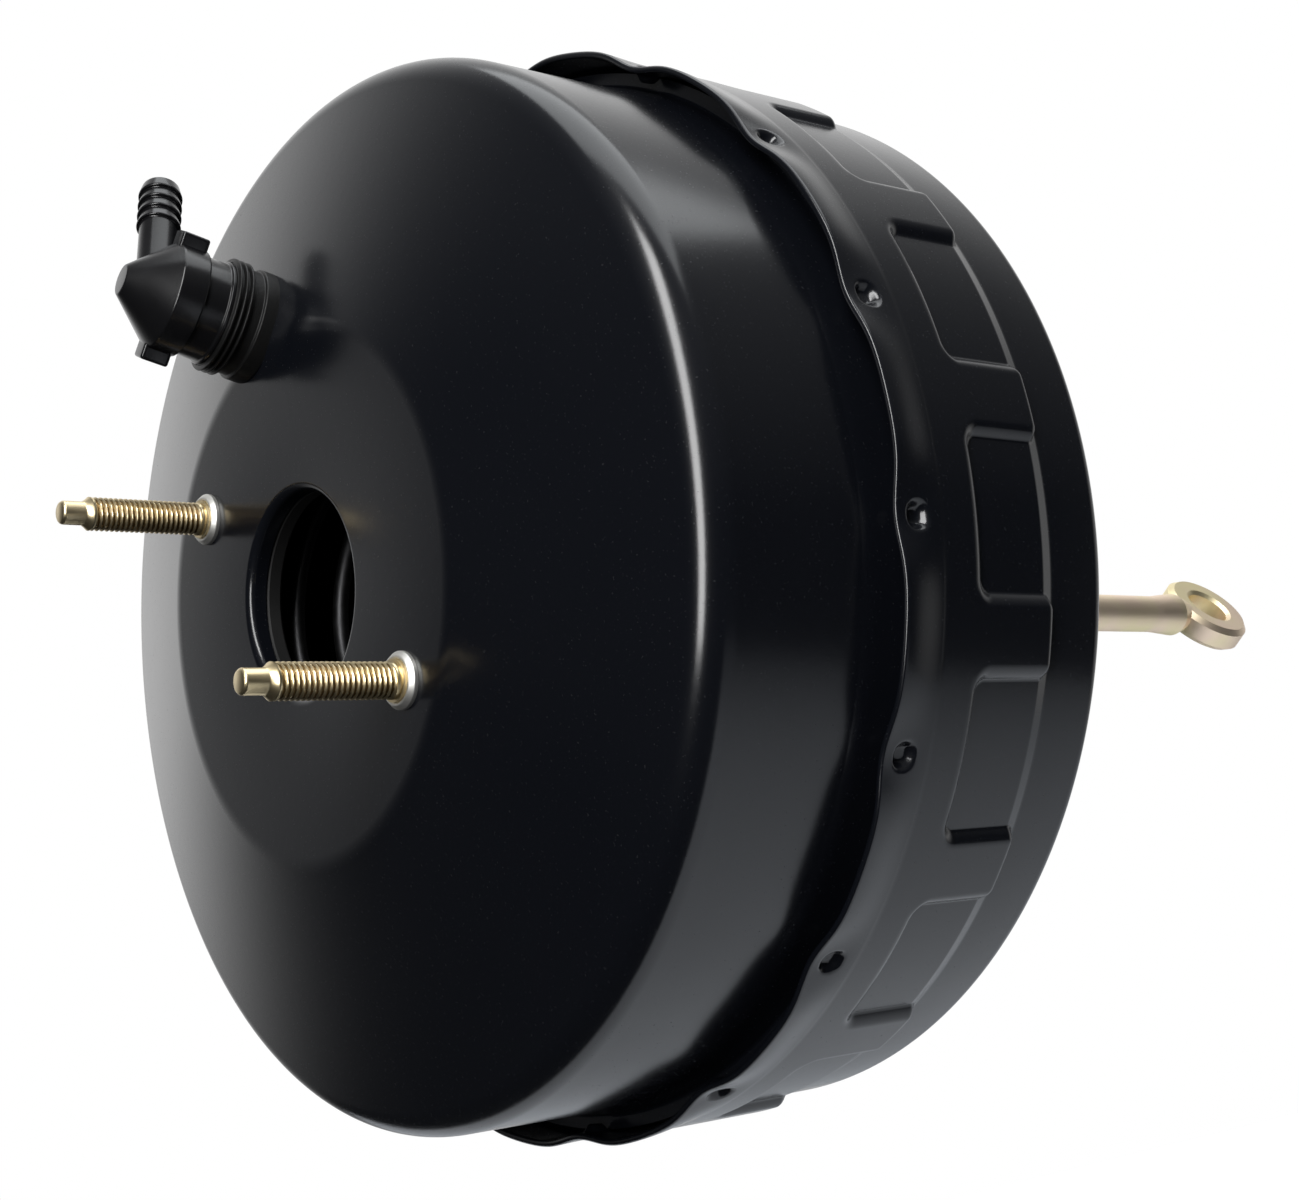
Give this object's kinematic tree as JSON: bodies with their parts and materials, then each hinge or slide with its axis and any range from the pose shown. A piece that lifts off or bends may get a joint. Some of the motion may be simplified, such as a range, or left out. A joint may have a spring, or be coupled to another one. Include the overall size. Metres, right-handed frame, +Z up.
{
  "type": "brake booster",
  "caption": "Tandem vacuum brake booster: black crimped steel shells, check valve with hose barb, studs for the master cylinder and a pedal rod with an eye",
  "frame": {"origin": "centre of the four firewall studs, on the rear mounting face", "axes": "X is the booster's axis; +X points to the pedal and -X to the master cylinder; +Z is up"},
  "size_m": [0.3902, 0.2632, 0.2632],
  "materials": {
    "shell_black": "semi-gloss black paint",
    "zinc_gold": "steel with yellow zinc plating",
    "zinc_silver": "clear zinc plating",
    "rubber_black": "moulded rubber",
    "inner_steel": "plain pressed steel",
    "valve_plastic": "moulded phenolic resin",
    "spring_steel": "drawn spring wire",
    "rod_zinc": "forged steel with warm yellow zinc plating",
    "filter_foam": "open-cell foam",
    "check_plastic": "moulded black nylon"
  },
  "bodies": {
    "root": {"front_shell": "shell_black", "rear_shell": "shell_black", "master_cylinder_studs": "zinc_gold", "stud_collars": "zinc_silver", "stud_plate": "zinc_silver", "front_seal": "rubber_black", "firewall_studs": "zinc_gold", "rear_plate": "zinc_silver", "primary_diaphragm": "rubber_black", "divider": "inner_steel", "divider_seal": "rubber_black", "secondary_diaphragm": "rubber_black", "rear_seal": "rubber_black", "rear_bush": "valve_plastic", "dust_boot": "rubber_black", "return_spring": "spring_steel", "check_valve_grommet": "rubber_black", "check_valve_body": "check_plastic", "check_valve_elbow": "check_plastic", "check_valve_spring": "spring_steel"},
    "power_piston": {"primary_plate": "inner_steel", "secondary_plate": "inner_steel", "valve_body": "valve_plastic", "reaction_disc": "rubber_black", "output_rod": "inner_steel", "output_rod_retainer": "zinc_silver", "plunger_key": "inner_steel", "poppet": "rubber_black", "poppet_retainer": "zinc_silver", "poppet_spring": "spring_steel", "rod_return_spring": "spring_steel", "air_filter": "filter_foam", "filter_retainer": "valve_plastic"},
    "plunger": {"plunger": "inner_steel"},
    "pedal_rod": {"input_rod": "rod_zinc"},
    "check_disc": {"check_valve_disc": "rubber_black"}
  },
  "joints": [
    {"name": "power_stroke", "type": "slide", "parent": "root", "child": "power_piston", "axis": [-1, 0, 0], "range_m": [0, 0.032], "stiffness_N_per_m": 1500, "springref_m": -0.02, "deforming": ["return_spring", "primary_diaphragm", "secondary_diaphragm", "dust_boot"]},
    {"name": "valve_stroke", "type": "slide", "parent": "power_piston", "child": "plunger", "axis": [-1, 0, 0], "range_m": [0, 0.0022], "stiffness_N_per_m": 800, "springref_m": -0.002, "deforming": ["poppet", "poppet_spring", "rod_return_spring"]},
    {"name": "rod_tilt", "type": "hinge", "parent": "plunger", "child": "pedal_rod", "pos_m": [0.0077, 0, 0], "axis": [0, 1, 0], "range_deg": [-3, 3]},
    {"name": "check_valve_lift", "type": "slide", "parent": "root", "child": "check_disc", "axis": [-0.9617, 0.1262, 0.2433], "range_m": [0, 0.0018], "stiffness_N_per_m": 60, "springref_m": -0.001, "deforming": ["check_valve_spring"]}
  ]
}
